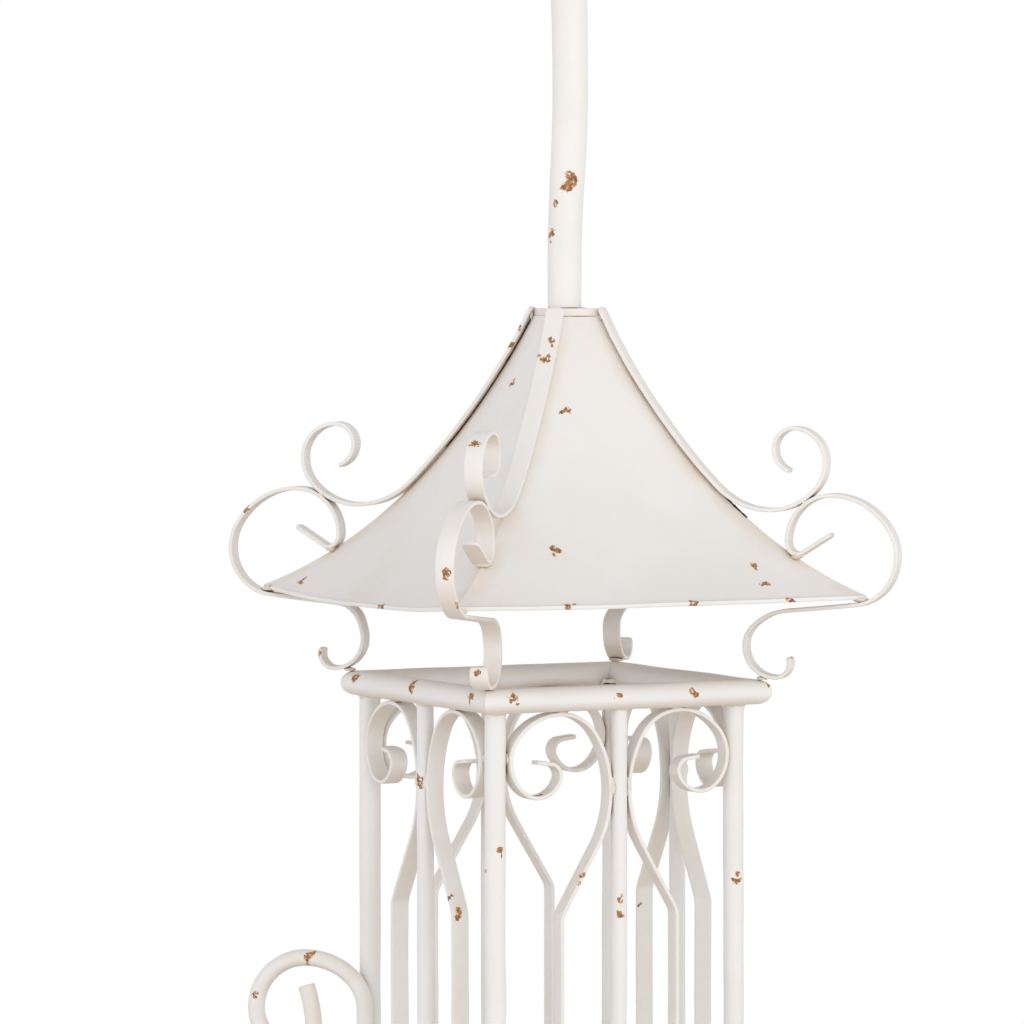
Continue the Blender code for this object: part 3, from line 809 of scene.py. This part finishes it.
def make_tray():
    for side in ("left", "right"):
        low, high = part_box("tray_bearer_" + side)
        matrix = upright_plane(90.0, 0.0, (low[2] + high[2]) / 2.0)
        matrix.translation.x = (low[0] + high[0]) / 2.0
        points = [(low[1] + (high[1] - low[1]) * k / 40.0, 0.0) for k in range(41)]
        obj = sweep("painted_tray_bearer_" + side, points, BAR, matrix, 4.0, wander=0.0002)
        finish_piece(obj, "cage", ["tray_bearer_" + side], "body")
    low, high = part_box("seed_tray")
    half = high[0]
    base, top = low[2], high[2]

    def rounded_square(inset, z, corner=0.012):
        ring = []
        side = half - inset
        bend = max(corner - inset, 0.001)
        for quarter in range(4):
            for step in range(9):
                turn = math.radians(90.0 * (quarter + step / 8.0))
                x = (side - bend) * (1 if quarter in (0, 3) else -1) + bend * math.cos(turn)
                y = (side - bend) * (1 if quarter in (0, 1) else -1) + bend * math.sin(turn)
                ring.append(Vector((x, y, z)))
        return ring

    outer = [(0.060, base), (0.0060, base), (0.0030, base + 0.0006), (0.0020, base + 0.0022),
             (0.0016, base + 0.0060), (0.0014, top - 0.0040), (0.0012, top - 0.0030),
             (0.0002, top - 0.0022), (0.0, top - 0.0012), (0.0004, top - 0.0002), (0.0014, top),
             (0.0024, top - 0.0003), (0.0028, top - 0.0014), (0.0029, top - 0.0040),
             (0.0032, base + 0.0060), (0.0036, base + 0.0030), (0.0050, base + 0.0016),
             (0.0070, base + 0.0012), (0.060, base + 0.0012)]
    rings = [rounded_square(inset, z) for inset, z in outer]
    finish_piece(skin("painted_seed_tray", rings), "tray", ["seed_tray"], "body",
                 stain=0.5)


# --- welds ------------------------------------------------------------------------------------

def bead_loop(points, radius, seed, sides=10):
    """Rings of an uneven weld bead round a closed loop of points."""
    count = len(points)
    rings = []
    for i, point in enumerate(points):
        tangent = (points[(i + 1) % count] - points[i - 1]).normalized()
        up = Vector((0.0, 0.0, 1.0))
        steep = abs(tangent.z) >= 0.9
        first = (tangent.orthogonal() if steep else up - tangent * up.dot(tangent)).normalized()
        second = tangent.cross(first)
        size = radius * (1.0 + 0.9 * noise.noise(point * 210.0 + Vector((seed, 0.0, 0.0))))
        rings.append([point + (first * math.cos(a) * 1.5 + second * math.sin(a)) * size
                      for a in (2.0 * math.pi * s / sides for s in range(sides))])
    return rings


def saddle(place, post_radius, rails, rail_z, below):
    """Loop where an upright meets the round rails, given as the angles that the rails face."""
    loop = []
    sign = -1.0 if below else 1.0
    for k in range(40):
        turn = 2.0 * math.pi * k / 40.0
        x = place[0] + post_radius * math.cos(turn)
        y = place[1] + post_radius * math.sin(turn)
        depth = 0.0045
        for angle in rails:
            out = x * math.cos(math.radians(angle)) + y * math.sin(math.radians(angle))
            off = abs(out - FRAME_HALF)
            if off < RAIL_RADIUS:
                depth = max(depth, math.sqrt(RAIL_RADIUS ** 2 - off ** 2))
        loop.append(Vector((x, y, rail_z + sign * depth)))
    return loop


def lump(shape, centre, size, matrix, seed):
    """One lumpy blob of weld, added to a mesh being built."""
    made = bmesh.ops.create_icosphere(shape, subdivisions=3, radius=1.0)
    shift = Vector((seed, seed * 0.7, 0.0))
    for vert in made["verts"]:
        way = vert.co.copy()
        swell = 1.0 + 0.28 * noise.noise(way * 1.6 + shift) + 0.10 * noise.noise(way * 4.5 + shift)
        local = Vector((way.x * size[0], way.y * size[1], way.z * size[2])) * swell
        vert.co = matrix @ (Vector(centre) + local)


def weld_object(name, loops, lumps, group="body"):
    shape = bmesh.new()
    for rings in loops:
        rows = [[shape.verts.new(point) for point in ring] for ring in rings]
        count = len(rows[0])
        for first, second in zip(rows, rows[1:] + rows[:1]):
            for k in range(count):
                shape.faces.new((first[k], first[(k + 1) % count], second[(k + 1) % count], second[k]))
    for k, (centre, size, matrix) in enumerate(lumps):
        lump(shape, centre, size, matrix, k * 1.7)
    bmesh.ops.recalc_face_normals(shape, faces=shape.faces)
    for face in shape.faces:
        face.smooth = True
    mesh = bpy.data.meshes.new(name)
    shape.to_mesh(mesh)
    shape.free()
    obj = bpy.data.objects.new(name, mesh)
    bpy.context.scene.collection.objects.link(obj)
    finish_piece(obj, "cage", (), group, stain=1.0)


def make_welds():
    for level, z, below in (("top", TOP_FRAME_Z, True), ("lower", LOW_FRAME_Z, False)):
        loops = []
        for n, (corner, angle) in enumerate(CORNERS.items()):
            place = corner_centre(corner, CORNER_POST_CENTRE)
            rails = (angle - 45, angle + 45)
            loops.append(bead_loop(saddle(place, CORNER_POST_RADIUS, rails, z, below), 0.0010, n))
        for n, angle in enumerate(FACES.values()):
            place = upright_plane(angle, MID_POST_PLANE).translation
            loops.append(bead_loop(saddle(place, MID_POST_RADIUS, (angle,), z, below), 0.0008, n + 9))
        weld_object("weld_beads_" + level, loops, [])
    lumps = []
    for angle in FACES.values():
        matrix = upright_plane(angle, INFILL_PLANE, TOP_FRAME_Z - RAIL_RADIUS, radial=False)
        for sign in (-1.0, 1.0):
            lumps.append(((sign * 0.0068, -0.058, 0.0040), (0.0022, 0.0075, 0.0050), matrix))
            lumps.append(((sign * 0.0956, -0.0345, 0.0), (0.0018, 0.0045, 0.0055), matrix))
            lumps.append(((sign * 0.0500, -0.0004, 0.0040), (0.0055, 0.0016, 0.0040), matrix))
            lumps.append(((sign * 0.0500, -0.4800, 0.0), (0.0030, 0.0022, 0.0075), matrix))
    weld_object("weld_spots_infill", [], lumps)
    lumps = []
    for angle in CORNERS.values():
        matrix = upright_plane(angle, 0.0, EAVE_Z)
        lumps.append(((0.1941, 0.0730, 0.0), (0.0042, 0.0030, 0.0076), matrix))
        lumps.append(((0.1880, 0.0318, 0.0), (0.0040, 0.0028, 0.0078), matrix))
        lumps.append(((0.2390, -0.0002, 0.0), (0.0060, 0.0022, 0.0070), matrix))
        lumps.append(((0.1640, -0.0606, 0.0), (0.0048, 0.0014, 0.0058), matrix))
        lumps.append(((0.0277, 0.2104, 0.0), (0.0011, 0.0032, 0.0042), matrix))
    weld_object("weld_spots_roof", [], lumps, "scroll")


# --- stage ------------------------------------------------------------------------------------

def make_floor():
    mesh = bpy.data.meshes.new("floor")
    shape = bmesh.new()
    bmesh.ops.create_circle(shape, cap_ends=True, segments=96, radius=FLOOR_RADIUS)
    shape.to_mesh(mesh)
    shape.free()
    floor = bpy.data.objects.new("floor", mesh)
    floor.location.z = -FLOOR_DROP
    bpy.context.scene.collection.objects.link(floor)
    material = bpy.data.materials.new("floor_white")
    material.use_nodes = True
    shader = material.node_tree.nodes["Principled BSDF"]
    shader.inputs["Base Color"].default_value = colour(0.93, 0.93, 0.93)
    shader.inputs["Roughness"].default_value = 0.9
    mesh.materials.append(material)


def make_world():
    """Soft light from all round, strongest from the front, behind a white ground."""
    world = bpy.data.worlds.new("studio")
    bpy.context.scene.world = world
    world.use_nodes = True
    g = Graph(world.node_tree)
    back = world.node_tree.nodes["Background"]
    way = g.add("ShaderNodeSeparateXYZ", {0: g.add("ShaderNodeTexCoord").outputs["Generated"]}).outputs
    across = g.math("ADD", g.math("MULTIPLY", way[0], ACROSS_X), g.math("MULTIPLY", way[1], ACROSS_Y))
    toward = g.math("ADD", g.math("MULTIPLY", way[0], TOWARD_X), g.math("MULTIPLY", way[1], TOWARD_Y))
    front = g.mix(g.ramp(across, -0.7, 0.7), colour(1.33, 1.33, 1.38), colour(1.34, 1.31, 1.27))
    shade = g.mix(g.ramp(toward, -0.45, 0.70), colour(0.86, 0.83, 0.80), front)
    shade = g.mix(g.ramp(way[2], 0.22, 0.95), shade, colour(0.60, 0.60, 0.60))
    shade = g.mix(g.ramp(way[2], -0.05, -0.60), shade, colour(1.00, 0.95, 0.88))
    seen = g.add("ShaderNodeLightPath").outputs["Is Camera Ray"]
    shade = g.mix(seen, shade, colour(1.0, 1.0, 1.0))
    world.node_tree.links.new(shade, back.inputs["Color"])


def area_light(name, place, target, size, power, tint):
    data = bpy.data.lights.new(name, "AREA")
    data.shape = "DISK"
    data.size = size
    data.energy = power
    data.color = tint
    light = bpy.data.objects.new(name, data)
    light.location = place
    light.rotation_euler = (Vector(target) - Vector(place)).to_track_quat("-Z", "Y").to_euler()
    bpy.context.scene.collection.objects.link(light)


def make_camera():
    azimuth, elevation = math.radians(CAMERA_AZIMUTH), math.radians(CAMERA_ELEVATION)
    back = Vector((math.sin(azimuth) * math.cos(elevation), -math.cos(azimuth) * math.cos(elevation),
                   math.sin(elevation)))
    data = bpy.data.cameras.new("camera")
    data.sensor_width = CAMERA_SENSOR
    data.lens = CAMERA_LENS
    camera = bpy.data.objects.new("camera", data)
    camera.location = Vector(CAMERA_AIM) + back * CAMERA_DISTANCE
    camera.rotation_euler = back.to_track_quat("Z", "Y").to_euler()
    bpy.context.scene.collection.objects.link(camera)
    bpy.context.scene.camera = camera


make_rails()
make_uprights()
make_infill()
make_roof()
make_shadow_seams()
make_top()
make_pole()
make_side_scroll()
make_tray()
make_welds()
make_floor()
make_world()
area_light("key", KEY_PLACE, KEY_TARGET, KEY_SIZE, KEY_POWER, KEY_TINT)
make_camera()
bpy.context.scene.view_settings.view_transform = "Standard"
